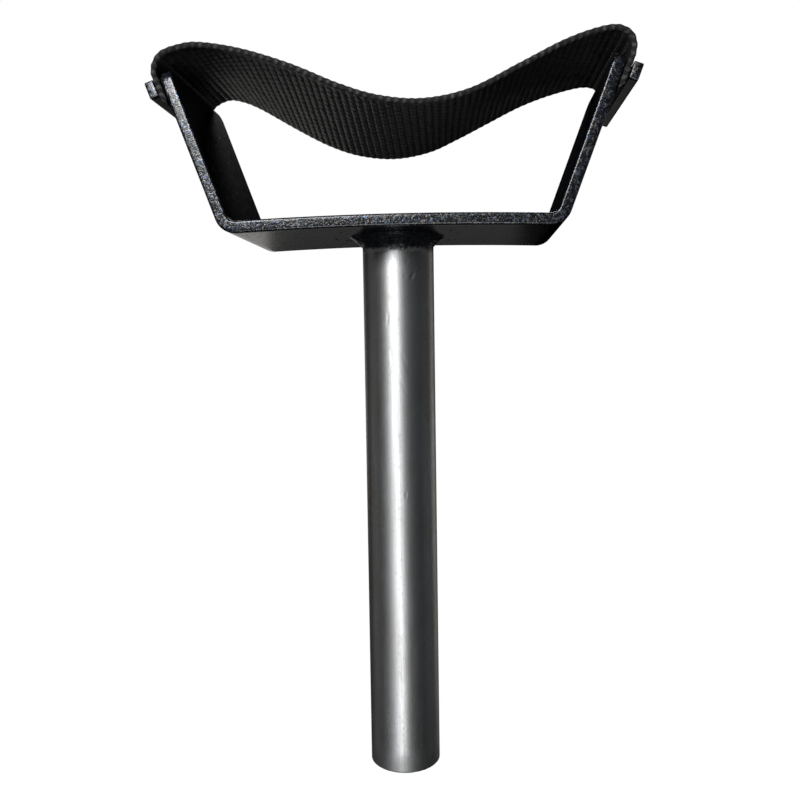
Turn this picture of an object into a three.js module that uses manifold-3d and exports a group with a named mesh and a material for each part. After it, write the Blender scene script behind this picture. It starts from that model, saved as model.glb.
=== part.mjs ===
// Strap-sling cradle head: a bent flat-bar yoke on a round stem, with a webbing strap
// slung between its arms and held at each end by a screwed clamp bar.
// Millimetres. +Z up along the stem, +X along the yoke, +Y from front to back.
// The origin is the centre of the stem's bottom end.
import * as THREE from 'three';
import { mergeVertices } from 'three/addons/utils/BufferGeometryUtils.js';
import Module from 'manifold-3d';

const wasm = await Module();
wasm.setup();

// Driving dimensions
const GAP = 0.3; // clearance between pieces that touch on the real object

const STEM_DIAMETER = 31.75;
const STEM_WALL = 3.2;
const STEM_LENGTH = 240;
const STEM_CHAMFER = 0.8;

const BAR_WIDTH = 75;
const BAR_THICKNESS = 5;
const BAR_EDGE = 0.7; // broken edge along the bar
const ARM_LEAN = THREE.MathUtils.degToRad(20.2); // from upright
const ARM_STRAIGHT = 63.7; // length of an arm above its bend
const ARM_CLIP = 3; // clipped corners at the arms' ends, at 45 degrees
const BEND_RADIUS = 6; // at the middle of the thickness
const PLATE_HALF = 64; // half length of the plate between the bends
const PLATE_CROWN = 1.3; // rise of the plate at its middle, drawn up by the weld

const WELD_LEG = 4.6;

const STRAP_WIDTH = 77;
const STRAP_THICKNESS = 2.6;
const STRAP_TAIL = 12.5; // the strap's end, below the arm's end
const CLAMP_LENGTH = 73;
const CLAMP_THICKNESS = 3.9;
const CLAMP_HEIGHT = 7;
const CLAMP_DROP = 1.5; // the clamp bar's top edge, below the arm's end
const CLAMP_EDGE = 0.5;

const SCREW_DIAMETER = 3; // M3 flat-head socket screws
const SCREW_LENGTH = 10;
const SCREW_HEAD_DIAMETER = 5.6;
const SCREW_HEAD_RIM = 0.25; // the straight edge above the head's cone
const SOCKET_ACROSS_FLATS = 2;
const SOCKET_DEPTH = 1.1;
const SCREWS_PER_CLAMP = 3;
const SCREW_SPACING = 25;
const TAPPED_DEPTH = 3.8; // of the blind holes in the arms

const FINE_SIDES = 64;
const SCREW_SIDES = 24;

// Derived sizes
const STEM_RADIUS = STEM_DIAMETER / 2;
const PLATE_UNDERSIDE = STEM_LENGTH + GAP;
const PLATE_RADIUS = PLATE_HALF ** 2 / (2 * PLATE_CROWN);
const PLATE_SLOPE = Math.asin(PLATE_HALF / PLATE_RADIUS);
const BEND_ANGLE = Math.PI / 2 - ARM_LEAN + PLATE_SLOPE;
const SCREW_CONE = (SCREW_HEAD_DIAMETER - SCREW_DIAMETER) / 2; // a 90 degree countersink
const CLAMP_MIDDLE = -CLAMP_DROP - CLAMP_HEIGHT / 2;
const CLAMP_FACE = 2 * GAP + STRAP_THICKNESS + CLAMP_THICKNESS;

const paint = { color: 0x17191d, roughness: 0.42, metalness: 0.3 };
const steel = { color: 0x6d6c69, roughness: 0.38, metalness: 1 };
const webbing = { color: 0x0d0d10, roughness: 0.85, metalness: 0 };
const blackOxide = { color: 0x1b1b1d, roughness: 0.45, metalness: 0.8 };

const cradle = new THREE.Group();

function addPart(parent, name, geometry, finish) {
  const mesh = new THREE.Mesh(geometry, new THREE.MeshStandardMaterial(finish));
  mesh.name = name;
  parent.add(mesh);
  return mesh;
}

function toSolid(geometry) {
  const bare = geometry.clone();
  bare.deleteAttribute('normal');
  bare.deleteAttribute('uv');
  const merged = mergeVertices(bare, 1e-4);
  return new wasm.Manifold(new wasm.Mesh({
    numProp: 3,
    vertProperties: new Float32Array(merged.attributes.position.array),
    triVerts: new Uint32Array(merged.index.array),
  }));
}

function toGeometry(solid) {
  const { vertProperties, triVerts } = solid.getMesh();
  const geometry = new THREE.BufferGeometry();
  geometry.setAttribute('position', new THREE.BufferAttribute(vertProperties, 3));
  geometry.setIndex(new THREE.BufferAttribute(triVerts, 1));
  geometry.computeVertexNormals();
  return geometry;
}

function cut(geometry, tools) {
  return toGeometry(tools.reduce((left, tool) => left.subtract(toSolid(tool)), toSolid(geometry)));
}

// A profile of [radius, height] points turned about +Z.
function turned(profile, sides) {
  const points = profile.map(([radius, height]) => new THREE.Vector2(radius, height));
  return new THREE.LatheGeometry(points, sides).rotateX(Math.PI / 2);
}

// The middle line of the bent bar's right half, from the plate's middle to the arm's end:
// points in the XZ plane, each with the direction of travel.
function halfBarLine() {
  const steps = { plate: 8, bend: 10 };
  const middle = PLATE_UNDERSIDE + BAR_THICKNESS / 2;
  const line = [];
  for (let i = 0; i <= steps.plate; i += 1) {
    const turn = (PLATE_SLOPE * i) / steps.plate;
    line.push({
      x: PLATE_RADIUS * Math.sin(turn),
      z: middle - PLATE_RADIUS * (1 - Math.cos(turn)),
      heading: -turn,
    });
  }
  const bendStart = line.at(-1);
  for (let i = 1; i <= steps.bend; i += 1) {
    const heading = bendStart.heading + (BEND_ANGLE * i) / steps.bend;
    line.push({
      x: bendStart.x + BEND_RADIUS * (Math.sin(heading) - Math.sin(bendStart.heading)),
      z: bendStart.z + BEND_RADIUS * (Math.cos(bendStart.heading) - Math.cos(heading)),
      heading,
    });
  }
  const armStart = line.at(-1);
  line.push({
    x: armStart.x + ARM_STRAIGHT * Math.cos(armStart.heading),
    z: armStart.z + ARM_STRAIGHT * Math.sin(armStart.heading),
    heading: armStart.heading,
  });
  return line;
}

const halfLine = halfBarLine();
const armEnd = halfLine.at(-1);

// One arm's own frame: its origin is at the end of the arm's outer face, +X points out of
// that face and +Z up along the arm. The left frame is the right one turned round the stem.
function armFrame(side) {
  const frame = new THREE.Group();
  frame.position.set(
    armEnd.x + (BAR_THICKNESS / 2) * Math.cos(ARM_LEAN),
    0,
    armEnd.z - (BAR_THICKNESS / 2) * Math.sin(ARM_LEAN),
  );
  frame.rotation.y = ARM_LEAN;
  const turn = new THREE.Group();
  turn.rotation.z = side === 'left' ? Math.PI : 0;
  turn.add(frame);
  cradle.add(turn);
  turn.updateMatrixWorld(true);
  return frame;
}

const armFrames = { left: armFrame('left'), right: armFrame('right') };
const screwPlaces = Array.from(
  { length: SCREWS_PER_CLAMP },
  (_, i) => (i - (SCREWS_PER_CLAMP - 1) / 2) * SCREW_SPACING,
);

// The clamp screws' holes, along an arm frame's X: right through the clamp bar and the strap,
// and blind in the arm.
function screwHoles() {
  const radius = SCREW_DIAMETER / 2 + GAP;
  const outer = CLAMP_FACE + 1;
  const depth = outer + TAPPED_DEPTH;
  return screwPlaces.map((place) => new THREE.CylinderGeometry(radius, radius, depth, SCREW_SIDES)
    .rotateZ(Math.PI / 2)
    .translate(outer - depth / 2, place, CLAMP_MIDDLE));
}

const placedHoles = Object.values(armFrames).flatMap((frame) => screwHoles()
  .map((hole) => hole.applyMatrix4(frame.matrixWorld)));

// Wedges over the two corners at each arm's end.
function cornerCutters() {
  const side = ARM_CLIP * Math.SQRT2;
  return Object.values(armFrames).flatMap((frame) => [-1, 1].map((edge) => (
    new THREE.BoxGeometry(4 * BAR_THICKNESS, side, side)
      .rotateX(Math.PI / 4)
      .translate(0, (edge * BAR_WIDTH) / 2, 0)
      .applyMatrix4(frame.matrixWorld))));
}

function yokeBar() {
  const rightHalf = (offset) => halfLine.map(({ x, z, heading }) => new THREE.Vector2(
    x + offset * Math.sin(heading),
    z - offset * Math.cos(heading),
  ));
  const mirrored = (points) => points.slice(1).map(({ x, y }) => new THREE.Vector2(-x, y));
  const outer = rightHalf(BAR_THICKNESS / 2);
  const inner = rightHalf(-BAR_THICKNESS / 2);
  const outline = [
    ...mirrored(outer).reverse(), ...outer, ...inner.slice().reverse(), ...mirrored(inner),
  ];
  const bar = new THREE.ExtrudeGeometry(new THREE.Shape(outline), {
    depth: BAR_WIDTH - 2 * BAR_EDGE,
    bevelThickness: BAR_EDGE,
    bevelSize: BAR_EDGE,
    bevelOffset: -BAR_EDGE,
    bevelSegments: 2,
    curveSegments: 1,
  });
  bar.translate(0, 0, BAR_EDGE - BAR_WIDTH / 2).rotateX(Math.PI / 2);
  return cut(bar, [...placedHoles, ...cornerCutters()]);
}

function stemTube() {
  const bore = STEM_RADIUS - STEM_WALL;
  return turned([
    [bore, STEM_LENGTH],
    [bore, STEM_CHAMFER],
    [bore + STEM_CHAMFER, 0],
    [STEM_RADIUS - STEM_CHAMFER, 0],
    [STEM_RADIUS, STEM_CHAMFER],
    [STEM_RADIUS, STEM_LENGTH],
    [bore, STEM_LENGTH],
  ], FINE_SIDES);
}

// A fillet weld all round the stem's top end, with a slightly full face.
function weldBead() {
  const top = PLATE_UNDERSIDE - 1.5 * GAP;
  const root = STEM_RADIUS + GAP;
  const face = [0.15, 0.5, 0.85].map((turn) => [
    root + WELD_LEG * Math.sin((turn * Math.PI) / 2) ** 1.3,
    top - WELD_LEG * Math.cos((turn * Math.PI) / 2) ** 1.3,
  ]);
  return turned([
    [root, top], [root, top - WELD_LEG], ...face, [root + WELD_LEG, top], [root, top],
  ], FINE_SIDES);
}

// A point of the strap's path in an arm frame, as XZ of the whole object.
function onArm(side, out, up) {
  const point = new THREE.Vector3(out, 0, up).applyMatrix4(armFrames[side].matrixWorld);
  return [point.x, point.z];
}

// The strap's middle line at one of its edges: up outside the left arm, over its end,
// down through the sling, and the same way back down the right arm. The sling hangs from
// the left crest to the right crest, and its points are heights above the plate's corners.
function strapEdge(sling) {
  const seat = GAP + STRAP_THICKNESS / 2;
  const straight = [-STRAP_TAIL, -0.66 * STRAP_TAIL, -0.33 * STRAP_TAIL, 0];
  const plane = PLATE_UNDERSIDE - PLATE_CROWN - GAP;
  return new THREE.SplineCurve([
    ...straight.map((up) => onArm('left', seat, up)),
    ...sling.map(([x, height]) => [x, plane + height]),
    ...straight.reverse().map((up) => onArm('right', seat, up)),
  ].map(([x, z]) => new THREE.Vector2(x, z)));
}

const frontEdge = strapEdge([
  [-95.2, 69], [-92.4, 72.8], [-86, 75], [-77, 75.8], [-60, 72.7], [-40, 66.1], [-20, 57.4],
  [-3.7, 52.2], [14, 50.4], [32.8, 53.7], [52.7, 62.8], [68.1, 70.1], [79.6, 74.1],
  [89, 75.7], [94.4, 73.5], [96.2, 69.6],
]);
const backEdge = strapEdge([
  [-95.2, 69], [-92.4, 72.9], [-86, 75.7], [-79.6, 75.2], [-69.4, 71.1], [-50, 59.7],
  [-35, 51.8], [-20.5, 46.8], [-3.7, 44.9], [12.9, 47.5], [27.5, 53.7], [41.9, 60.7],
  [56.5, 67.6], [70.9, 72.5], [85.2, 75.6], [92.6, 74.4], [96, 69.6],
]);

// A flat strip is bent so that each edge follows its own line.
function strap() {
  const strip = new THREE.BoxGeometry(1, STRAP_WIDTH, STRAP_THICKNESS, 128, 3, 1);
  const place = strip.attributes.position;
  for (let i = 0; i < place.count; i += 1) {
    const along = THREE.MathUtils.clamp(place.getX(i) + 0.5, 0, 1);
    const across = place.getY(i) / STRAP_WIDTH + 0.5;
    const middle = frontEdge.getPointAt(along).lerp(backEdge.getPointAt(along), across);
    const run = frontEdge.getTangentAt(along).lerp(backEdge.getTangentAt(along), across);
    run.normalize().multiplyScalar(place.getZ(i));
    place.setXYZ(i, middle.x - run.y, place.getY(i), middle.y + run.x);
  }
  return cut(strip, placedHoles);
}

function clampBar() {
  const round = CLAMP_EDGE;
  const half = CLAMP_HEIGHT / 2;
  const section = new THREE.Shape([
    [0, -half + round], [round, -half], [CLAMP_THICKNESS - round, -half],
    [CLAMP_THICKNESS, -half + round], [CLAMP_THICKNESS, half - round],
    [CLAMP_THICKNESS - round, half], [round, half], [0, half - round],
  ].map(([x, z]) => new THREE.Vector2(x, z)));
  const bar = new THREE.ExtrudeGeometry(section, { depth: CLAMP_LENGTH, bevelEnabled: false });
  const seat = 2 * GAP + STRAP_THICKNESS;
  bar.translate(0, 0, -CLAMP_LENGTH / 2).rotateX(Math.PI / 2).translate(seat, 0, CLAMP_MIDDLE);
  const countersinks = screwPlaces.map((place) => flatHead(GAP, 1)
    .rotateY(Math.PI / 2)
    .translate(CLAMP_FACE, place, CLAMP_MIDDLE));
  return cut(bar, [...screwHoles(), ...countersinks]);
}

// A flat head and its cone, with its top at the origin and its axis along +Z, made larger
// all round and carried on above its top.
function flatHead(larger, above) {
  const head = SCREW_HEAD_DIAMETER / 2 + larger;
  const neck = SCREW_DIAMETER / 2 + larger;
  return turned([
    [0, -SCREW_HEAD_RIM - SCREW_CONE], [neck, -SCREW_HEAD_RIM - SCREW_CONE],
    [head, -SCREW_HEAD_RIM], [head, above], [0, above],
  ], SCREW_SIDES);
}

// A flat-head socket screw along +Z, with the top of its head at the origin.
function clampScrew() {
  const head = SCREW_HEAD_DIAMETER / 2;
  const shank = SCREW_DIAMETER / 2;
  const tip = 0.4;
  const body = turned([
    [0, -SCREW_LENGTH], [shank - tip, -SCREW_LENGTH], [shank, tip - SCREW_LENGTH],
    [shank, -SCREW_HEAD_RIM - SCREW_CONE], [head, -SCREW_HEAD_RIM], [head, 0], [0, 0],
  ], SCREW_SIDES);
  const across = SOCKET_ACROSS_FLATS / Math.sqrt(3);
  const socket = new THREE.CylinderGeometry(across, across, 2 * SOCKET_DEPTH, 6)
    .rotateX(Math.PI / 2);
  return cut(body, [socket]);
}

addPart(cradle, 'stem_tube', stemTube(), steel);
addPart(cradle, 'stem_weld_bead', weldBead(), paint);
addPart(cradle, 'yoke_bar', yokeBar(), paint);
addPart(cradle, 'strap_webbing', strap(), webbing);

for (const [side, frame] of Object.entries(armFrames)) {
  addPart(frame, `${side}_clamp_bar`, clampBar(), paint);
  screwPlaces.forEach((place, i) => {
    const screw = addPart(frame, `${side}_clamp_screw_${i + 1}`, clampScrew(), blackOxide);
    screw.position.set(CLAMP_FACE, place, CLAMP_MIDDLE);
    screw.rotation.y = Math.PI / 2;
  });
}

export default cradle;
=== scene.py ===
"""Strap-sling cradle head: bent flat-bar yoke, bare steel stem, webbing sling and clamp bars."""
import math

import bpy
import numpy as np
from mathutils import Matrix, Vector


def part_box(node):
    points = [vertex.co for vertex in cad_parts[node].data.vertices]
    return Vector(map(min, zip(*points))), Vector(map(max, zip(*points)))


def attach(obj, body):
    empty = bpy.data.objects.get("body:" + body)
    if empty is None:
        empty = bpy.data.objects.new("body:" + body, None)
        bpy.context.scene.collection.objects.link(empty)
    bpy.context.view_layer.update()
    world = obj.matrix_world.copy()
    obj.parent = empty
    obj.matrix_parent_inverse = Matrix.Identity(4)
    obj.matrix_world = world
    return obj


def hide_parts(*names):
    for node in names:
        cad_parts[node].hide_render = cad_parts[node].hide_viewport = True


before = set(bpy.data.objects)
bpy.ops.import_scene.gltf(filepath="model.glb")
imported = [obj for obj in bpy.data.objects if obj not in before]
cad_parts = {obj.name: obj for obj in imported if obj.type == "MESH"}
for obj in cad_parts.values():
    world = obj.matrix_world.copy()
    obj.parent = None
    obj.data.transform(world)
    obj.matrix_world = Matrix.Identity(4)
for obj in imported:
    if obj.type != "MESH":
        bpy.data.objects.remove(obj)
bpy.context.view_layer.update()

MM = 0.001
rng = np.random.default_rng(7)

# --- Sizes in millimetres, from the frame where it has them ---
STEM_LOW, STEM_HIGH = (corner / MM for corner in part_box("stem_tube"))
YOKE_LOW, YOKE_HIGH = (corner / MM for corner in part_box("yoke_bar"))
STRAP_LOW, STRAP_HIGH = (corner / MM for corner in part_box("strap_webbing"))
GAP = 0.3
STEM_RADIUS = (STEM_HIGH.x - STEM_LOW.x) / 2
STEM_LENGTH = STEM_HIGH.z
STEM_WALL = 3.2
BAR_WIDTH = YOKE_HIGH.y - YOKE_LOW.y
BAR_THICKNESS = 5
BAR_ROUND = 0.9
ARM_LEAN = math.radians(20.2)
ARM_STRAIGHT = 63.7
ARM_CLIP = 3
BEND_RADIUS = 6
PLATE_HALF = 64
PLATE_CROWN = 1.3
PLATE_UNDERSIDE = STEM_LENGTH + GAP
PLATE_RADIUS = PLATE_HALF**2 / (2 * PLATE_CROWN)
PLATE_SLOPE = math.asin(PLATE_HALF / PLATE_RADIUS)
BEND_ANGLE = math.pi / 2 - ARM_LEAN + PLATE_SLOPE
WELD_LEG = 4.7
STRAP_WIDTH = STRAP_HIGH.y - STRAP_LOW.y
STRAP_THICKNESS = 2.6
STRAP_TAIL = 12.5
CLAMP_LENGTH = 73
CLAMP_THICKNESS = 3.9
CLAMP_HEIGHT = 7
CLAMP_ROUND = 0.55
CLAMP_MIDDLE = -1.5 - CLAMP_HEIGHT / 2
CLAMP_SEAT = 2 * GAP + STRAP_THICKNESS
CLAMP_FACE = CLAMP_SEAT + CLAMP_THICKNESS
SCREW_PLACES = (-25, 0, 25)
SCREW_RADIUS = 1.5
SCREW_HEAD_RADIUS = 2.8
SCREW_LENGTH = 10
SCREW_RIM = 0.25
THREAD_PITCH = 0.5
THREAD_DEPTH = 0.28
TAPPED_DEPTH = 3.8


# --- Camera ---
CAMERA_PLACE = (0.02898, -0.3790, 0.1938)  # metres
CAMERA_TURN = (4.40, -4.01, -0.877)  # yaw, pitch and roll in degrees
CAMERA_LENS = 37.8


def make_camera():
    """The photo's own view, found by fitting the object's straight edges."""
    yaw, pitch, roll = (math.radians(angle) for angle in CAMERA_TURN)
    data = bpy.data.cameras.new("camera")
    data.sensor_width = 36
    data.lens = CAMERA_LENS
    camera = bpy.data.objects.new("camera", data)
    bpy.context.scene.collection.objects.link(camera)
    turn = (
        Matrix.Rotation(yaw, 4, "Z")
        @ Matrix.Rotation(math.pi / 2 + pitch, 4, "X")
        @ Matrix.Rotation(roll, 4, "Z")
    )
    camera.matrix_world = Matrix.Translation(CAMERA_PLACE) @ turn
    bpy.context.scene.camera = camera


# --- Mesh helpers, all in millimetres ---
def mesh_object(name, points, faces):
    mesh = bpy.data.meshes.new(name)
    mesh.from_pydata((np.asarray(points, float) * MM).tolist(), [], faces)
    mesh.validate()
    mesh.update()
    mesh.shade_smooth()
    piece = bpy.data.objects.new(name, mesh)
    bpy.context.scene.collection.objects.link(piece)
    return piece


def grid_faces(rows, columns):
    """Quads over points numbered row by row; the last column joins the first."""
    i, j = np.meshgrid(np.arange(rows - 1), np.arange(columns), indexing="ij")
    k = (j + 1) % columns
    quads = np.stack(
        [i * columns + j, i * columns + k, (i + 1) * columns + k, (i + 1) * columns + j], -1
    )
    return quads.reshape(-1, 4).tolist()


def capped_tube(name, rings):
    """A closed mesh through rings of points, each ring an (n, 3) array."""
    rows, columns = rings.shape[:2]
    faces = grid_faces(rows, columns)
    faces.append(list(range(columns))[::-1])
    faces.append([(rows - 1) * columns + j for j in range(columns)])
    return mesh_object(name, rings.reshape(-1, 3), faces)


def rounded_rectangle(width, height, radius, steps):
    """Points round a rectangle: steps = (along the width, along the height, in a corner)."""
    along, up, corner = steps
    w, h = width / 2 - radius, height / 2 - radius
    middles = [(w, -h), (w, h), (-w, h), (-w, -h)]
    loop = []
    for k, (x, y) in enumerate(middles):
        for a in np.linspace(-math.pi / 2, 0, corner + 1):
            turn = a + k * math.pi / 2
            loop.append((x + radius * math.cos(turn), y + radius * math.sin(turn)))
        a = np.array(loop[-1])
        x, y = middles[(k + 1) % 4]
        turn = k * math.pi / 2
        b = np.array((x + radius * math.cos(turn), y + radius * math.sin(turn)))
        count = up if k % 2 == 0 else along
        loop += [tuple(a + (b - a) * t / count) for t in range(1, count)]
    return np.array(loop)


def bar_rings(places, across, through, size, radius, steps, clip=0):
    """Rings of a rounded bar along a line, its ends rounded over and their corners clipped."""
    places, across, through = (np.asarray(v, float) for v in (places, across, through))
    width, thickness = size
    run = np.cross(across, through)
    ends = [(radius * math.sin(a), radius * (1 - math.cos(a)))
            for a in np.linspace(0, math.pi / 2, 4)[1:] * 0.98]
    rings = []

    def ring(k, loop, shift):
        rings.append(places[k] + shift * run[k]
                     + loop[:, :1] * across[k] + loop[:, 1:] * through[k])

    def inset(d):
        wide = width - 2 * clip - 2 * d
        return rounded_rectangle(wide, thickness - 2 * d, max(radius - d, 0.02), steps)

    for out, d in reversed(ends):
        ring(0, inset(d), radius - out)
    line = places.copy()
    line[0] += run[0] * radius
    line[-1] -= run[-1] * radius
    from_end = np.linalg.norm(places - places[0], axis=1)
    from_end = np.minimum(from_end, from_end[::-1])
    for k in range(len(line)):
        lost = max(0, clip - from_end[k])  # cut off each corner
        body = rounded_rectangle(width - 2 * lost, thickness, radius, steps)
        rings.append(line[k] + body[:, :1] * across[k] + body[:, 1:] * through[k])
    for out, d in ends:
        ring(len(places) - 1, inset(d), out - radius)
    return np.array(rings)


def cut_holes(piece, cutters):
    """Boolean the cutters out of a piece and throw them away."""
    for cutter in cutters:
        change = piece.modifiers.new("cut", "BOOLEAN")
        change.operation = "DIFFERENCE"
        change.solver = "EXACT"
        change.object = cutter
    graph = bpy.context.evaluated_depsgraph_get()
    mesh = bpy.data.meshes.new_from_object(piece.evaluated_get(graph))
    piece.modifiers.clear()
    old, piece.data = piece.data, mesh
    mesh.name = piece.name
    bpy.data.meshes.remove(old)
    for cutter in cutters:
        bpy.data.objects.remove(cutter)


def turned_rings(profile, sides):
    """Rings about +Z from [radius, height] points, one ring for each point."""
    turn = np.linspace(0, 2 * math.pi, sides, endpoint=False)
    profile = np.asarray(profile, float)
    rings = np.empty((len(profile), sides, 3))
    rings[..., 0] = profile[:, :1] * np.cos(turn)
    rings[..., 1] = profile[:, :1] * np.sin(turn)
    rings[..., 2] = profile[:, 1:]
    return rings


def hollow_faces(count, sides):
    """Faces over rings that go right round a hollow piece and meet again."""
    last = (count - 1) * sides
    joint = [[last + k, last + (k + 1) % sides, (k + 1) % sides, k] for k in range(sides)]
    return grid_faces(count, sides) + joint


def finish_piece(piece, node, material):
    piece.data.materials.append(material)
    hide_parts(node)
    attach(piece, "root")


def smooth_noise(count, scale, amount):
    """A closed run of smooth random values, scale values apart."""
    knots = rng.normal(0, amount, max(4, round(count / scale)))
    where = np.linspace(0, len(knots), count, endpoint=False)
    low = np.floor(where).astype(int)
    t = where - low
    t = t * t * (3 - 2 * t)
    return knots[low % len(knots)] * (1 - t) + knots[(low + 1) % len(knots)] * t


# --- The arms' own frames ---
def arm_end():
    """The end of the right arm's outer face, as XZ."""
    bend_x = PLATE_RADIUS * math.sin(PLATE_SLOPE)
    bend_z = PLATE_UNDERSIDE + BAR_THICKNESS / 2 - PLATE_RADIUS * (1 - math.cos(PLATE_SLOPE))
    out = math.pi / 2 - ARM_LEAN
    x = bend_x + BEND_RADIUS * (math.sin(out) + math.sin(PLATE_SLOPE))
    x += ARM_STRAIGHT * math.cos(out)
    z = bend_z + BEND_RADIUS * (math.cos(PLATE_SLOPE) - math.cos(out))
    z += ARM_STRAIGHT * math.sin(out)
    half = BAR_THICKNESS / 2
    return x + half * math.cos(ARM_LEAN), z - half * math.sin(ARM_LEAN)


def on_arm(side, out, up):
    """A place in an arm's own frame, as XZ: out of its outer face, and up along it."""
    x, z = arm_end()
    x += out * math.cos(ARM_LEAN) + up * math.sin(ARM_LEAN)
    z += up * math.cos(ARM_LEAN) - out * math.sin(ARM_LEAN)
    return (x if side == "right" else -x, z)


def arm_matrix(side):
    """An arm's own frame: +X out of its outer face, +Z up along it."""
    x, z = arm_end()
    frame_right = Matrix.Translation((x * MM, 0, z * MM)) @ Matrix.Rotation(ARM_LEAN, 4, "Y")
    return Matrix.Rotation(math.pi if side == "left" else 0, 4, "Z") @ frame_right


def place_on_arm(piece, side, extra=Matrix.Identity(4)):
    piece.data.transform(arm_matrix(side) @ extra)
    piece.data.update()


def hole_turn(place, out=0):
    """Stands a +Z piece in an arm frame at a clamp screw, pointing out of the arm."""
    there = Matrix.Translation((out * MM, place * MM, CLAMP_MIDDLE * MM))
    return there @ Matrix.Rotation(math.pi / 2, 4, "Y")


# --- Strap ---
PICK = 3.2  # one weft pick, along the strap
WARP = 2.2  # one warp end, across the strap
ROWS_PER_PICK = 6
COLUMNS_PER_WARP = 6
SELVAGE = WARP / 2
WEAVE_LOW = 0.62  # how far both faces stand off the mid-plane between picks
WEAVE_RIB = 0.2  # what a pick adds to that
WEAVE_FLOAT = 0.56  # and what a warp end adds where it floats over the pick
WEAVE_UNEVEN = 0.09  # how much the floats differ, as a share
CORD_HEIGHT = 1.16  # the border along both edges
CORD_RIPPLE = 0.09
CUT_MELT = 1.3  # how far in the melted weave reaches from a cut end
CUT_SLANT = 5  # how far in the cut's slant reaches

FRONT_SLING = [
    (-95.2, 69), (-92.4, 72.8), (-86, 75), (-77, 75.8), (-60, 72.7), (-40, 66.1), (-20, 57.4),
    (-3.7, 52.2), (14, 50.4), (32.8, 53.7), (52.7, 62.8), (68.1, 70.1), (79.6, 74.1),
    (89, 75.7), (94.4, 73.5), (96.2, 69.6),
]
BACK_SLING = [
    (-95.2, 69), (-92.4, 72.9), (-86, 75.7), (-79.6, 75.2), (-69.4, 71.1), (-50, 59.7),
    (-35, 51.8), (-20.5, 46.8), (-3.7, 44.9), (12.9, 47.5), (27.5, 53.7), (41.9, 60.7),
    (56.5, 67.6), (70.9, 72.5), (85.2, 75.6), (92.6, 74.4), (96, 69.6),
]


def catmull_rom(points, samples):
    """Points evenly spaced along a Catmull-Rom curve, and its length."""
    p = np.asarray(points, float)
    ends = np.vstack([p[:1], p, p[-1:]])
    fine = []
    for i in range(len(p) - 1):
        a, b, c, d = ends[i : i + 4]
        t = np.linspace(0, 1, 60, endpoint=False)[:, None]
        v0, v1 = (c - a) / 2, (d - b) / 2
        fine.append(
            (2 * b - 2 * c + v0 + v1) * t**3 + (-3 * b + 3 * c - 2 * v0 - v1) * t**2 + v0 * t + b
        )
    fine = np.vstack([*fine, p[-1:]])
    run = np.concatenate([[0], np.cumsum(np.linalg.norm(np.diff(fine, axis=0), axis=1))])
    where = np.linspace(0, run[-1], samples)
    return np.stack([np.interp(where, run, fine[:, k]) for k in (0, 1)], -1), run[-1]


def strap_edge(sling, samples):
    """The strap's middle line at one edge, as XZ, from the left arm to the right arm."""
    seat = GAP + STRAP_THICKNESS / 2
    straight = [share * -STRAP_TAIL for share in (1, 0.66, 0.33, 0)]
    plane = PLATE_UNDERSIDE - PLATE_CROWN - GAP
    points = [on_arm("left", seat, up) for up in straight]
    points += [(x, plane + height) for x, height in sling]
    points += [on_arm("right", seat, up) for up in reversed(straight)]
    return catmull_rom(points, samples)


def weave_height(along, across, side, uneven):
    """How far a plain weave's surface stands off the strap's mid-plane.

    along is in picks and across in warp ends; side is 1 on the upper face and -1 below.
    Every second warp end floats over a pick, and those floats swell until they meet.
    """
    pick = np.round(along)
    rib = np.sqrt(np.clip(1 - ((along - pick) / 0.51) ** 2, 0, 1))
    parity = (pick + (side < 0)) % 2
    end = 2 * np.round((across - parity) / 2) + parity
    float_top = np.sqrt(np.clip(1 - ((across - end) / 1.1) ** 2, 0, 1))
    own = uneven[pick.astype(int) % uneven.shape[0], end.astype(int) % uneven.shape[1]]
    return WEAVE_LOW + rib**0.8 * (WEAVE_RIB + WEAVE_FLOAT * float_top * (1 + own))


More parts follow.
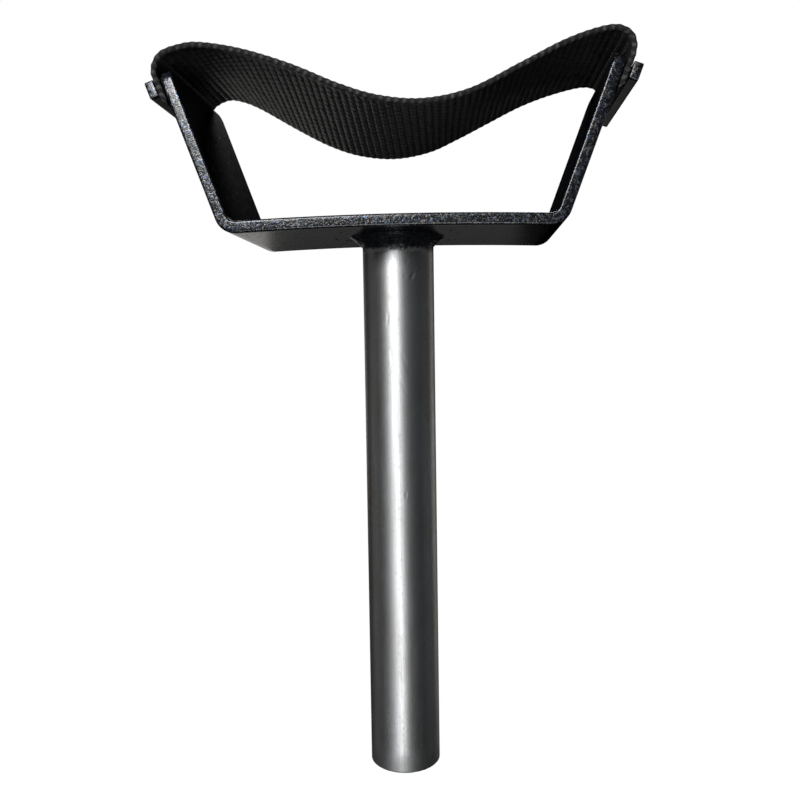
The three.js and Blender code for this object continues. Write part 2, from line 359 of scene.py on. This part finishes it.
def make_strap(material):
    _, front_length = strap_edge(FRONT_SLING, 50)
    _, back_length = strap_edge(BACK_SLING, 50)
    length = (front_length + back_length) / 2
    picks = round(length / PICK)
    ends = round(STRAP_WIDTH / WARP)
    rows = picks * ROWS_PER_PICK + 1
    columns = (ends - 1) * COLUMNS_PER_WARP + 1
    front, _ = strap_edge(FRONT_SLING, rows)
    back, _ = strap_edge(BACK_SLING, rows)
    uneven = rng.normal(0, WEAVE_UNEVEN, (97, 89))

    # The section's loop: the upper face, the back selvage, the lower face, the front selvage.
    along = np.linspace(0, picks, rows)[:, None]
    across = np.arange(columns)[None, :] / COLUMNS_PER_WARP
    upper = weave_height(along, across, 1, uneven)
    lower = weave_height(along, across, -1, uneven)
    border = np.clip(1.3 - np.minimum(across, columns / COLUMNS_PER_WARP - across), 0, 1) ** 0.7
    cord = CORD_HEIGHT + CORD_RIPPLE * np.cos(2 * np.pi * along + 2.2 * across)
    upper = upper * (1 - border) + cord * border
    lower = lower * (1 - border) + cord * border
    edge_y = STRAP_WIDTH / 2 - SELVAGE
    face_y = np.linspace(-edge_y, edge_y, columns)
    turns = np.radians([60, 30, 0, -30, -60])

    def selvage(which, order):
        """One rounded edge, ridged at a slant by the weft turning back at every pick."""
        column = 0 if which < 0 else -1
        y, z = [], []
        for turn in turns[::order]:
            loop = np.cos(2 * np.pi * along[:, 0] + 1.1 * turn)
            tall = upper[:, column] if turn > 0 else lower[:, column]
            if turn == 0:
                tall = (upper[:, column] + lower[:, column]) / 2
            y.append(which * (edge_y + SELVAGE * math.cos(turn) * (1 + 0.07 * loop)))
            z.append(tall * math.sin(turn) * (1 + 0.04 * loop))
        return np.stack(y, 1), np.stack(z, 1)

    ys = np.broadcast_to(face_y, (rows, columns))
    blocks = [(ys, upper), selvage(1, 1), (ys[:, ::-1], -lower[:, ::-1]), selvage(-1, -1)]
    y = np.concatenate([b[0] for b in blocks], 1)
    z = np.concatenate([b[1] for b in blocks], 1)

    # The heat-cut ends: the weave melts flat, and the cut slants, longest against the arm.
    from_end = np.minimum(along, picks - along) * PICK
    melt = np.clip(1 - from_end / CUT_MELT, 0, 1)
    z = z * (1 - melt) + np.sign(z) * np.minimum(np.abs(z), 0.95) * melt * (1 - 0.25 * melt)
    slant = np.clip(1 - from_end / CUT_SLANT, 0, 1) * 1.4
    toward_middle = np.where(along < picks / 2, 1, -1)
    ragged = rng.normal(0, 0.12, y.shape[1])[None, :] * (from_end < 0.4)
    shift = toward_middle * (slant * z + ragged)

    share = y / STRAP_WIDTH + 0.5
    middle = front[:, None] * (1 - share[..., None]) + back[:, None] * share[..., None]
    run = np.gradient(middle, axis=0)
    run /= np.linalg.norm(run, axis=2, keepdims=True)
    normal = np.stack([-run[..., 1], run[..., 0]], -1)
    xz = middle + normal * z[..., None] + run * shift[..., None]
    rings = np.stack([xz[..., 0], y, xz[..., 1]], -1)
    total = rings.shape[1]
    faces = [quad[::-1] for quad in grid_faces(rows, total)]

    # Each cut end is closed by a strip of quads from the upper face to the lower.
    half = columns + len(turns)
    for row, flip in ((0, False), (rows - 1, True)):
        start = row * total
        left = [start + (columns - 1 - k) for k in range(columns)]
        right = [start + half + k for k in range(columns)]
        for k in range(columns - 1):
            quad = [left[k], left[k + 1], right[k + 1], right[k]]
            faces.append(quad[::-1] if flip else quad)
        back_edge = [start + columns - 1 + k for k in range(len(turns) + 2)]
        front_edge = [start + (half + columns - 1 + k) % total for k in range(len(turns) + 2)]
        for fan in (back_edge, front_edge):
            faces.append(fan if flip else fan[::-1])
    piece = mesh_object("strap", rings.reshape(-1, 3), faces)
    weave = np.stack([np.broadcast_to(along * PICK, y.shape), y, np.abs(z)], -1)
    own = piece.data.attributes.new("weave", "FLOAT_VECTOR", "POINT")
    own.data.foreach_set("vector", weave.astype(np.float32).ravel())
    finish_piece(piece, "strap_webbing", material)


# --- Yoke ---
def bar_line():
    """Stations along the bent bar's mid-line, from the left arm's end to the right arm's."""
    middle = PLATE_UNDERSIDE + BAR_THICKNESS / 2
    x, z, heading = [], [], []
    for turn in np.linspace(0, PLATE_SLOPE, 40):
        x.append(PLATE_RADIUS * math.sin(turn))
        z.append(middle - PLATE_RADIUS * (1 - math.cos(turn)))
        heading.append(-turn)
    start = (x[-1], z[-1], heading[-1])
    for turn in np.linspace(0, BEND_ANGLE, 25)[1:]:
        h = start[2] + turn
        x.append(start[0] + BEND_RADIUS * (math.sin(h) - math.sin(start[2])))
        z.append(start[1] + BEND_RADIUS * (math.cos(start[2]) - math.cos(h)))
        heading.append(h)
    start = (x[-1], z[-1], heading[-1])
    clip_start = ARM_STRAIGHT - ARM_CLIP
    for far in [*np.linspace(0, clip_start, 28)[1:], clip_start + ARM_CLIP / 2, ARM_STRAIGHT]:
        x.append(start[0] + far * math.cos(start[2]))
        z.append(start[1] + far * math.sin(start[2]))
        heading.append(start[2])
    x, z, heading = (np.array(v) for v in (x, z, heading))
    x = np.concatenate([-x[:0:-1], x])
    z = np.concatenate([z[:0:-1], z])
    heading = np.concatenate([-heading[:0:-1], heading])
    return x, z, heading


def make_yoke(material):
    x, z, heading = bar_line()
    zero = np.zeros_like(x)
    places = np.stack([x, zero, z], -1)
    across = np.stack([zero, zero + 1, zero], -1)
    through = np.stack([np.sin(heading), zero, -np.cos(heading)], -1)
    run = np.stack([np.cos(heading), zero, np.sin(heading)], -1)
    if np.dot(np.cross(across[0], through[0]), run[0]) < 0:
        across = -across
    size = (BAR_WIDTH, BAR_THICKNESS)
    rings = bar_rings(places, across, through, size, BAR_ROUND, (24, 4, 5), ARM_CLIP)
    yoke = capped_tube("yoke", rings)
    cutters = []
    for side in ("left", "right"):
        for place in SCREW_PLACES:
            radius = SCREW_RADIUS + GAP
            rings = turned_rings([(radius, -TAPPED_DEPTH), (radius, 4)], 32)
            drill = capped_tube("drill", rings)
            place_on_arm(drill, side, hole_turn(place))
            cutters.append(drill)
    cut_holes(yoke, cutters)
    finish_piece(yoke, "yoke_bar", material)


# --- Clamp bars and screws ---
def make_clamp_bar(side, material):
    half = CLAMP_LENGTH / 2
    y = np.linspace(-half, half, 40)
    zero = np.zeros_like(y)
    middle = CLAMP_SEAT + CLAMP_THICKNESS / 2
    places = np.stack([zero + middle, y, zero + CLAMP_MIDDLE], -1)
    through = np.stack([zero, zero, zero + 1], -1)
    across = np.stack([zero - 1, zero, zero], -1)
    if np.cross(across[0], through[0])[1] < 0:
        across = -across
    size = (CLAMP_THICKNESS, CLAMP_HEIGHT)
    rings = bar_rings(places, across, through, size, CLAMP_ROUND, (4, 8, 4))
    bar = capped_tube(f"{side}_clamp", rings)
    cutters = []
    for place in SCREW_PLACES:
        neck, head = SCREW_RADIUS + GAP, SCREW_HEAD_RADIUS + GAP
        cone = head - neck
        profile = [(neck, -6), (neck, -SCREW_RIM - cone), (head, -SCREW_RIM), (head, 1)]
        sink = capped_tube("sink", turned_rings(profile, 48))
        sink.data.transform(hole_turn(place, CLAMP_FACE))
        cutters.append(sink)
    cut_holes(bar, cutters)
    bar.data.shade_smooth()
    place_on_arm(bar, side)
    finish_piece(bar, f"{side}_clamp_bar", material)


def make_screw(side, index, place, material):
    """A flat-head socket screw: rolled thread, cone, slightly rounded rim and hex socket."""
    sides = 48
    turn = np.linspace(0, 2 * math.pi, sides, endpoint=False)
    rings = []
    cone_end = -SCREW_RIM - (SCREW_HEAD_RADIUS - SCREW_RADIUS)
    for z in np.linspace(-SCREW_LENGTH, cone_end - 0.6, 70):
        depth = abs(((z / THREAD_PITCH - turn / (2 * math.pi)) % 1) - 0.5) * 2
        taper = min(1, 0.82 + 0.25 * (z + SCREW_LENGTH))
        radius = (SCREW_RADIUS - THREAD_DEPTH * depth) * taper
        rings.append(np.stack([radius * np.cos(turn), radius * np.sin(turn),
                               np.full(sides, z)], -1))
    for radius, z in ((SCREW_RADIUS, cone_end - 0.3), (SCREW_RADIUS, cone_end),
                      (SCREW_HEAD_RADIUS, -SCREW_RIM), (SCREW_HEAD_RADIUS, -0.06),
                      (SCREW_HEAD_RADIUS - 0.07, -0.01), (SCREW_HEAD_RADIUS - 0.2, 0)):
        rings.append(np.stack([radius * np.cos(turn), radius * np.sin(turn),
                               np.full(sides, z)], -1))
    flat = 1.0 / np.cos((turn % (math.pi / 3)) - math.pi / 6)
    for grow, z in ((1.12, 0), (1.0, -0.09), (1.0, -0.95), (0.94, -1.05), (0.05, -1.35)):
        rings.append(np.stack([flat * grow * np.cos(turn), flat * grow * np.sin(turn),
                               np.full(sides, z)], -1))
    screw = capped_tube(f"{side}_screw_{index}", np.array(rings))
    spin = Matrix.Rotation(rng.uniform(0, math.pi / 3), 4, "Z")
    place_on_arm(screw, side, hole_turn(place, CLAMP_FACE) @ spin)
    finish_piece(screw, f"{side}_clamp_screw_{index}", material)


# --- Stem ---
# Wear on the stem's front, as [degrees round from the front, height, length, lean in degrees,
# width, depth], all in millimetres apart from the angles.
NICKS = [
    (27, 221.7, 1.7, 35, 0.55, 0.3), (33, 220.9, 1.3, -50, 0.3, 0.16),
    (18, 228.1, 0.6, 10, 0.3, 0.14), (14.5, 221.7, 0.4, 60, 0.28, 0.12),
    (-29.2, 30.8, 0.5, 0, 0.3, 0.12), (29.6, 20.9, 0.6, 20, 0.3, 0.14),
    (29.2, 12.6, 0.5, 80, 0.3, 0.14), (11, 126.3, 2.2, 3, 0.25, 0.1),
    (-13.4, 203, 5, 4, 0.3, 0.08), (-8.5, 187, 7, -3, 0.3, 0.08),
    (14.5, 183.5, 9, -22, 0.2, 0.06), (7.5, 175.5, 8, -22, 0.2, 0.06),
]


def make_stem(material):
    sides = 192
    bore = STEM_RADIUS - STEM_WALL
    heights = np.concatenate([np.linspace(0.9, STEM_LENGTH - 0.1, 330), [STEM_LENGTH]])
    profile = [(bore, STEM_LENGTH), (bore, STEM_LENGTH / 2), (bore, 1.2), (bore + 0.15, 0.7),
               (bore + 0.8, 0.05), (bore + 1, 0), (STEM_RADIUS - 0.95, 0),
               (STEM_RADIUS - 0.78, 0.03), (STEM_RADIUS - 0.12, 0.62)]
    inside = len(profile)
    profile += [(STEM_RADIUS, z) for z in heights]
    rings = turned_rings(profile, sides)
    turn = np.linspace(0, 360, sides, endpoint=False)
    outer = rings[inside:]
    z = outer[..., 2]
    push = np.zeros(outer.shape[:2])
    for azimuth, height, long, lean, wide, deep in NICKS:
        arc = ((turn - (azimuth - 90) + 180) % 360 - 180) * math.pi / 180 * STEM_RADIUS
        up = z - height
        c, s = math.cos(math.radians(lean)), math.sin(math.radians(lean))
        a, b = arc * c - up * s, arc * s + up * c
        ridge = (a / wide) ** 2 + np.clip(np.abs(b) - long / 2, 0, None) ** 2 / wide**2
        push -= deep * np.exp(-ridge)
        burr = ((a - 1.6 * wide) / wide) ** 2 + (b / (long / 2 + wide)) ** 2
        push += deep * 0.35 * np.exp(-burr)
    push += 0.02 * smooth_noise(sides, 16, 1)[None, :]
    outer[..., 0] *= 1 + push / STEM_RADIUS
    outer[..., 1] *= 1 + push / STEM_RADIUS
    rim = smooth_noise(sides, 3, 0.07)
    for k, amount in ((5, 0.4), (6, 1), (7, 1), (8, 0.5)):
        rings[k, :, 2] += amount * np.abs(rim)
    stem = mesh_object("stem", rings.reshape(-1, 3), hollow_faces(len(rings), sides))
    finish_piece(stem, "stem_tube", material)


# --- Weld ---
WELD_RIPPLES = 66
WELD_SPATTER = 26
WELD_HOLLOW = 2.4  # a power: 2 makes the bead's face straight, and more makes it hollow
RIPPLE_HEIGHT = 0.1


def make_weld(material):
    sides = 288
    turn = np.linspace(0, 2 * math.pi, sides, endpoint=False)
    top = PLATE_UNDERSIDE - 0.1
    root = STEM_RADIUS + 0.06
    wide = WELD_LEG * (1 + smooth_noise(sides, 22, 0.1) + smooth_noise(sides, 7, 0.05))
    tall = WELD_LEG * (1 + smooth_noise(sides, 26, 0.08) + smooth_noise(sides, 9, 0.05))
    tall *= 0.9 + 0.17 * np.clip(-np.sin(turn), 0, 1)
    start = rng.uniform(0, 1)
    rings = [np.stack([root * np.cos(turn), root * np.sin(turn), np.full(sides, top)], -1)]
    steps = 22
    for k in range(steps + 1):
        a = k / steps
        lean = a * math.pi / 2
        # Ripples of the weld pool, bowed along the direction of travel.
        pool = (turn / (2 * math.pi) * WELD_RIPPLES + start + 0.55 * math.sin(math.pi * a)) % 1
        ripple = RIPPLE_HEIGHT * (1 - pool) ** 2 * math.sin(math.pi * a) ** 0.6
        raised = 0.2 * math.sin(math.pi * a) * 0.6 + ripple
        out = root + wide * math.sin(lean) ** WELD_HOLLOW + raised * math.cos(math.pi / 4)
        down = tall * math.cos(lean) ** WELD_HOLLOW + raised * math.sin(math.pi / 4)
        down = down + smooth_noise(sides, 5, 0.1)
        down = np.maximum(down, 0) if k < steps else down * 0
        rings.append(np.stack([out * np.cos(turn), out * np.sin(turn), top - down], -1))
    points = np.array(rings).reshape(-1, 3).tolist()
    faces = hollow_faces(len(rings), sides)
    for _ in range(WELD_SPATTER):
        azimuth = rng.uniform(0, 2 * math.pi)
        far = STEM_RADIUS + WELD_LEG + 1 + abs(rng.normal(0, 5))
        x, y = far * math.cos(azimuth), far * math.sin(azimuth)
        add_spatter(points, faces, x, y, rng.uniform(0.25, 0.6))
    weld = mesh_object("weld", points, faces)
    finish_piece(weld, "stem_weld_bead", material)


def plate_height(x):
    """The height of the plate's underside at x."""
    return PLATE_UNDERSIDE - (PLATE_RADIUS - math.sqrt(max(PLATE_RADIUS**2 - x * x, 0)))


def add_spatter(points, faces, x, y, radius):
    """One bead of weld spatter stuck to the plate's underside."""
    if abs(y) > BAR_WIDTH / 2 - 1.5:
        return
    z = plate_height(x) + 0.15 * radius
    base = len(points)
    rows, sides = 6, 10
    for i in range(1, rows):
        a = math.pi * i / rows
        for j in range(sides):
            b = 2 * math.pi * j / sides
            r = radius * (1 + 0.12 * math.sin(3 * b + x))
            points.append([x + r * math.sin(a) * math.cos(b), y + r * math.sin(a) * math.sin(b),
                           z - 0.75 * r * math.cos(a)])
    rings = rows - 1
    faces += [[base + corner for corner in quad] for quad in grid_faces(rings, sides)]
    faces.append([base + j for j in range(sides)][::-1])
    faces.append([base + (rings - 1) * sides + j for j in range(sides)])


# --- Materials ---
class Shader:
    """A procedural material, with short calls for the nodes that it needs."""

    def __init__(self, name, **constants):
        self.material = bpy.data.materials.new(name)
        self.material.use_nodes = True
        self.tree = self.material.node_tree
        self.surface = self.tree.nodes["Principled BSDF"]
        for key, value in constants.items():
            self.surface.inputs[key.replace("_", " ")].default_value = value
        place = self.node("TexCoord")
        self.normal = place.outputs["Normal"]
        self.place = self.node(
            "VectorMath", {0: place.outputs["Object"], 1: (1000, 1000, 1000)}, operation="MULTIPLY"
        ).outputs[0]

    def node(self, kind, inputs=None, **settings):
        node = self.tree.nodes.new("ShaderNode" + kind)
        for key, value in settings.items():
            setattr(node, key, value)
        for key, value in (inputs or {}).items():
            self.feed(node.inputs[key], value)
        return node

    def feed(self, socket, value):
        if isinstance(value, bpy.types.NodeSocket):
            self.tree.links.new(value, socket)
        else:
            socket.default_value = value

    def noise(self, scale, detail=2.0, place=None, distortion=0.0, rough=0.55):
        return self.node("TexNoise", {
            "Vector": place or self.place, "Scale": scale, "Detail": detail,
            "Roughness": rough, "Distortion": distortion,
        }).outputs["Fac"]

    def cells(self, scale):
        return self.node("TexVoronoi", {"Vector": self.place, "Scale": scale}).outputs["Distance"]

    def stretch(self, scale, shift=(0, 0, 0)):
        moved = self.node("VectorMath", {0: self.place, 1: scale}, operation="MULTIPLY").outputs[0]
        return self.node("VectorMath", {0: moved, 1: shift}, operation="ADD").outputs[0]

    def range(self, value, low, high, to_low=0.0, to_high=1.0, smooth=False):
        return self.node("MapRange", {
            "Value": value, "From Min": low, "From Max": high, "To Min": to_low, "To Max": to_high,
        }, interpolation_type="SMOOTHSTEP" if smooth else "LINEAR").outputs["Result"]

    def math(self, operation, a, b=0.0):
        return self.node("Math", {0: a, 1: b}, operation=operation).outputs[0]

    def mix(self, share, a, b):
        node = self.node("Mix", {0: share}, data_type="RGBA")
        for key, value in ((6, a), (7, b)):
            if not isinstance(value, bpy.types.NodeSocket):
                value = (*value, 1)
            self.feed(node.inputs[key], value)
        return node.outputs[2]

    def split(self, vector):
        return self.node("SeparateXYZ", {0: vector}).outputs

    def bump(self, height, strength, distance, normal=None):
        inputs = {"Height": height, "Strength": strength, "Distance": distance * MM}
        if normal:
            inputs["Normal"] = normal
        return self.node("Bump", inputs).outputs["Normal"]

    def set(self, **sockets):
        for key, value in sockets.items():
            self.feed(self.surface.inputs[key.replace("_", " ")], value)
        return self.material


def hammertone_material():
    """Black hammered paint: metallic flakes in dark binder. Their pale colour is kept mostly to
    the cut edges as painted light; the real paint is the same on every face.
    """
    s = Shader("hammertone", IOR=1.42, Coat_Weight=0.12, Coat_Roughness=0.16)
    # Faces that look front or back get the pale flakes and the stronger lumps, and on the others
    # the flakes almost vanish. The pale flakes on those faces are painted light.
    edge = s.range(s.math("ABSOLUTE", s.split(s.normal)[1]), 0.3, 0.8, smooth=True)
    swirl = s.noise(0.95, 2, None, 0.9, 0.55)
    flakes_and_painted_light = s.range(swirl, 0.52, 0.6, smooth=True)
    flakes_and_painted_light = s.math("MULTIPLY", flakes_and_painted_light, s.math("ADD", s.math("MULTIPLY", edge, 0.95), 0.04))
    hue = s.noise(1.3, 1, s.stretch((1, 1, 1), shift=(31, 7, 3)))
    pale = s.mix(s.range(hue, 0.42, 0.58), (0.05, 0.075, 0.12), (0.12, 0.105, 0.085))
    ground = s.mix(s.range(s.noise(0.11, 3), 0.35, 0.65), (0.0018, 0.0026, 0.0052),
                   (0.004, 0.0046, 0.0066))
    color = s.mix(flakes_and_painted_light, ground, pale)
    scuff = s.range(s.noise(0.5, 5, s.stretch((1, 0.12, 1)), 0.2, 0.65), 0.6, 0.78)
    rough = s.range(s.noise(0.35, 4), 0.3, 0.7, 0.2, 0.27)
    rough = s.math("ADD", rough, s.math("MULTIPLY", scuff, 0.1))
    rough = s.math("ADD", rough, s.math("MULTIPLY", flakes_and_painted_light, 0.08))
    lumps = s.math("MULTIPLY", swirl, s.math("ADD", s.math("MULTIPLY", edge, 0.95), 0.05))
    orange = s.bump(s.noise(0.22, 2), 0.3, 0.12)
    return s.set(Base_Color=color, Roughness=rough, Normal=s.bump(lumps, 0.6, 0.2, orange),
                 Metallic=s.math("MULTIPLY", flakes_and_painted_light, 0.8), Coat_Normal=orange)


# The bare streak on the weld, in millimetres. Each pair is the width over which an edge of it
# fades, and the sides are measured from its middle.
STREAK_TOP = (234.2, 235.8)
STREAK_FRONT = (-14.5, -15.6)
STREAK_MIDDLE = 1.4
STREAK_SIDES = (2.0, 3.2)

# Heights up the stem between which each effect comes in or fades, in millimetres.
DULL_END = (9, 17)
SPRAY_EDGE = (234.6, 237.2)
SPRAY_SPECKS = (221, 233)


def weld_material():
    """The same black paint over the weld's ripples, worn to bare metal in one short streak."""
    s = Shader("weld_paint", IOR=1.5)
    x, y, z = s.split(s.place)[:3]
    lumps = s.noise(0.9, 4, None, 0.6)
    low = s.range(z, *STREAK_TOP, 1, 0, smooth=True)
    front = s.range(y, *STREAK_FRONT, 0, 1, smooth=True)
    beside = s.math("ABSOLUTE", s.math("SUBTRACT", x, STREAK_MIDDLE))
    near = s.range(beside, *STREAK_SIDES, 1, 0, smooth=True)
    worn = s.math("MULTIPLY", s.math("MULTIPLY", low, front), near)
    worn = s.math("MULTIPLY", worn, s.range(lumps, 0.4, 0.55, smooth=True))
    ground = s.mix(s.range(s.noise(0.6, 3), 0.35, 0.65), (0.004, 0.005, 0.007),
                   (0.014, 0.015, 0.018))
    color = s.mix(worn, ground, (0.5, 0.49, 0.46))
    rough = s.range(lumps, 0.3, 0.7, 0.22, 0.42)
    return s.set(Base_Color=color, Roughness=rough, Metallic=worn,
                 Normal=s.bump(lumps, 0.6, 0.25))


def steel_material():
    """Bare drawn tube: fine grain, brown bloom, overspray at the top and a dull lower end."""
    s = Shader("bare_steel", Anisotropic=0.6, Anisotropic_Rotation=0.25)
    z = s.split(s.place)[2]
    bloom = s.noise(0.09, 4, s.stretch((1, 1, 0.35)), 0.5)
    mottle = s.noise(0.55, 5, None, 0.8, 0.62)
    lengthwise = s.noise(1.0, 3, s.stretch((2.2, 2.2, 0.035)), 0, 0.6)
    round_grain = s.noise(1.0, 3, s.stretch((0.1, 0.1, 7)), 0, 0.6)
    color = s.mix(s.range(bloom, 0.35, 0.7), (0.64, 0.65, 0.665), (0.54, 0.53, 0.51))
    color = s.mix(s.range(lengthwise, 0.35, 0.7, 0, 0.4), color, (0.33, 0.33, 0.33))
    color = s.mix(s.range(mottle, 0.56, 0.75, 0, 0.4), color, (0.24, 0.22, 0.195))
    dull_edge = s.math("ADD", z, s.math("MULTIPLY", mottle, 10))
    dull_end = s.range(dull_edge, *DULL_END, 1, 0, smooth=True)
    color = s.mix(s.math("MULTIPLY", dull_end, 0.5), color, (0.16, 0.155, 0.15))
    spray_edge = s.math("ADD", z, s.math("MULTIPLY", s.noise(0.5, 4, None, 0.5), 5))
    spray = s.range(spray_edge, *SPRAY_EDGE, smooth=True)
    speck = s.range(s.cells(0.75), 0.12, 0.17, 1, 0, smooth=True)
    speck = s.math("MULTIPLY", speck, s.range(z, *SPRAY_SPECKS, 0, 1, smooth=True))
    spray = s.math("MAXIMUM", spray, s.math("MULTIPLY", speck, 0.8))
    color = s.mix(spray, color, (0.008, 0.009, 0.012))
    rough = s.range(lengthwise, 0.3, 0.7, 0.45, 0.53)
    rough = s.math("ADD", rough, s.math("MULTIPLY", dull_end, 0.12))
    rough = s.math("ADD", rough, s.range(mottle, 0.5, 0.75, 0, 0.1))
    grain = s.bump(s.math("ADD", round_grain, s.math("MULTIPLY", lengthwise, 0.5)), 0.3, 0.02)
    normal = s.bump(mottle, 0.25, 0.05, grain)
    tangent = s.node("Tangent", direction_type="RADIAL", axis="Z").outputs[0]
    return s.set(Base_Color=color, Roughness=rough, Normal=normal, Tangent=tangent,
                 Metallic=s.math("SUBTRACT", 1, spray))


def webbing_material():
    """Black woven webbing: twisted filaments, with painted shade between the picks and painted
    highlight dashes along the rim.
    """
    s = Shader("webbing", IOR=1.5, Specular_IOR_Level=0.6)
    weave = s.node("Attribute", attribute_name="weave").outputs["Vector"]
    along, across, height = s.split(weave)[:3]
    pick = s.math("ROUND", s.math("DIVIDE", along, PICK))
    end = s.math("DIVIDE", s.math("ADD", across, STRAP_WIDTH / 2 - SELVAGE), WARP)
    cell = s.node("CombineXYZ", {0: pick, 1: s.math("ROUND", end)}).outputs[0]
    own = s.node("TexWhiteNoise", {"Vector": cell}).outputs
    tint = s.split(own["Color"])
    base = s.mix(tint[0], (0.008, 0.01, 0.016), (0.034, 0.03, 0.025))
    # The colour goes near-black down between the picks: painted shade in the weave's hollows. The
    # same mask also sets the roughness.
    crown_lift_and_valley_shade = s.range(height, 0.8, 1.32, smooth=True)
    color = s.mix(crown_lift_and_valley_shade, (0.0006, 0.0008, 0.0014), base)
    lint = s.range(s.noise(0.9, 4, None, 0.5), 0.62, 0.75)
    color = s.mix(s.math("MULTIPLY", lint, 0.25), color, (0.05, 0.048, 0.042))
    # The pale dashes along both edges are painted highlight, where light glints on the twisted
    # cord.
    rim = s.range(s.math("ABSOLUTE", across), STRAP_WIDTH / 2 - 1.9, STRAP_WIDTH / 2 - 0.9)
    twist = s.math("MULTIPLY", along, math.tau / PICK)
    twist = s.math("ADD", twist, s.math("MULTIPLY", across, 1.6))
    painted_cord_highlight = s.range(s.math("SINE", twist), -0.4, 0.9, 0, 1, smooth=True)
    painted_cord_highlight = s.math("MULTIPLY", painted_cord_highlight, s.range(s.noise(0.45, 2), 0.4, 0.6, 0.15, 1, smooth=True))
    color = s.mix(s.math("MULTIPLY", rim, painted_cord_highlight), color, (0.055, 0.055, 0.052))
    slope = s.node("CombineXYZ", {
        0: s.math("MULTIPLY", along, 0.45),
        1: s.math("ADD", s.math("MULTIPLY", across, 4.2), s.math("MULTIPLY", along, 0.55)),
        2: s.math("MULTIPLY", height, 1.5),
    }).outputs[0]
    filament = s.noise(1.0, 3, slope, 0, 0.6)
    fine = s.node("TexWave", {
        "Vector": slope, "Scale": 0.32, "Distortion": 1.2, "Detail": 2.0,
    }, wave_type="BANDS", bands_direction="Y").outputs["Fac"]
    fibres = s.math("ADD", s.math("MULTIPLY", fine, 0.5), filament)
    rough = s.range(filament, 0.3, 0.7, 0.22, 0.4)
    rough = s.math("ADD", rough, s.range(crown_lift_and_valley_shade, 0, 0.7, 0.6, 0))
    return s.set(Base_Color=color, Roughness=rough, Normal=s.bump(fibres, 0.7, 0.09))


def screw_material():
    """Black-oxide screw, rubbed brighter on its rim."""
    s = Shader("black_oxide", Metallic=0.85)
    wear = s.range(s.noise(1.6, 4, None, 0.4), 0.5, 0.72)
    color = s.mix(wear, (0.018, 0.018, 0.02), (0.09, 0.085, 0.08))
    rough = s.range(s.noise(2.4, 3), 0.3, 0.7, 0.34, 0.55)
    return s.set(Base_Color=color, Roughness=rough, Normal=s.bump(s.noise(5, 3), 0.3, 0.03))


# --- Light and stage ---
LIGHT_AIM = (0, 0, 0.2)  # metres
FLOOR_SIZE = 40  # metres


def soft_light(name, azimuth, elevation, far, size, brightness, color):
    """A soft box, placed by degrees round from the front (right is positive) and up."""
    a, e = math.radians(azimuth), math.radians(elevation)
    target = Vector(LIGHT_AIM)
    toward = Vector((math.sin(a) * math.cos(e), -math.cos(a) * math.cos(e), math.sin(e)))
    place = target + far * toward
    data = bpy.data.lights.new(name, "AREA")
    data.shape = "RECTANGLE"
    data.size, data.size_y = size
    data.energy = brightness * math.pi * size[0] * size[1]
    data.color = color
    light = bpy.data.objects.new(name, data)
    bpy.context.scene.collection.objects.link(light)
    light.location = place
    light.rotation_euler = (target - place).to_track_quat("-Z", "Y").to_euler()
    light.visible_camera = False


def make_stage():
    """A plain pale floor and background that the camera sees but that throw nothing back."""
    bpy.ops.mesh.primitive_plane_add(size=FLOOR_SIZE)
    floor = bpy.context.object
    floor.name = "floor"
    s = Shader("pale_floor", Base_Color=(0.02, 0.02, 0.02, 1), Roughness=1.0,
               Emission_Color=(1, 1, 1, 1), Emission_Strength=1.0)
    s.surface.inputs["Specular IOR Level"].default_value = 0
    floor.data.materials.append(s.material)
    floor.visible_diffuse = False
    floor.visible_glossy = False
    floor.visible_shadow = False
    world = bpy.data.worlds.new("world")
    bpy.context.scene.world = world
    world.use_nodes = True
    backdrop = world.node_tree.nodes["Background"]
    backdrop.inputs["Color"].default_value = (1, 1, 1, 1)
    backdrop.inputs["Strength"].default_value = 1.0
    world.cycles_visibility.diffuse = False
    world.cycles_visibility.glossy = False
    world.cycles_visibility.transmission = False
    bpy.context.scene.view_settings.view_transform = "Standard"


make_camera()
make_strap(webbing_material())
paint = hammertone_material()
make_yoke(paint)
oxide = screw_material()
for side in ("left", "right"):
    make_clamp_bar(side, paint)
    for index, place in enumerate(SCREW_PLACES, 1):
        make_screw(side, index, place, oxide)
make_stem(steel_material())
make_weld(weld_material())

make_stage()
soft_light("key", -17, 27, 1.3, (0.42, 0.34), 32, (0.98, 0.99, 1))
soft_light("low_front", -5, -22, 1.3, (0.4, 0.6), 7, (0.97, 0.99, 1))
soft_light("sky_right", 50, 12, 1.4, (1.0, 1.0), 0.09, (0.7, 0.85, 1))
soft_light("back_left", -152, -4, 1.5, (0.7, 0.4), 0.6, (1, 0.98, 0.94))
soft_light("back_low", -172, -14, 1.5, (0.7, 0.4), 0.12, (1, 0.98, 0.96))
soft_light("back_right", 134, -8, 1.5, (0.5, 0.8), 0.6, (1, 0.95, 0.88))
soft_light("side_left", -95, -12, 1.4, (0.8, 0.5), 0.28, (1, 0.99, 0.96))
soft_light("side_right", 92, -12, 1.4, (0.8, 0.5), 0.2, (0.93, 0.97, 1))
soft_light("top_back", 166, 42, 1.4, (0.9, 0.5), 5.0, (0.95, 0.97, 1))
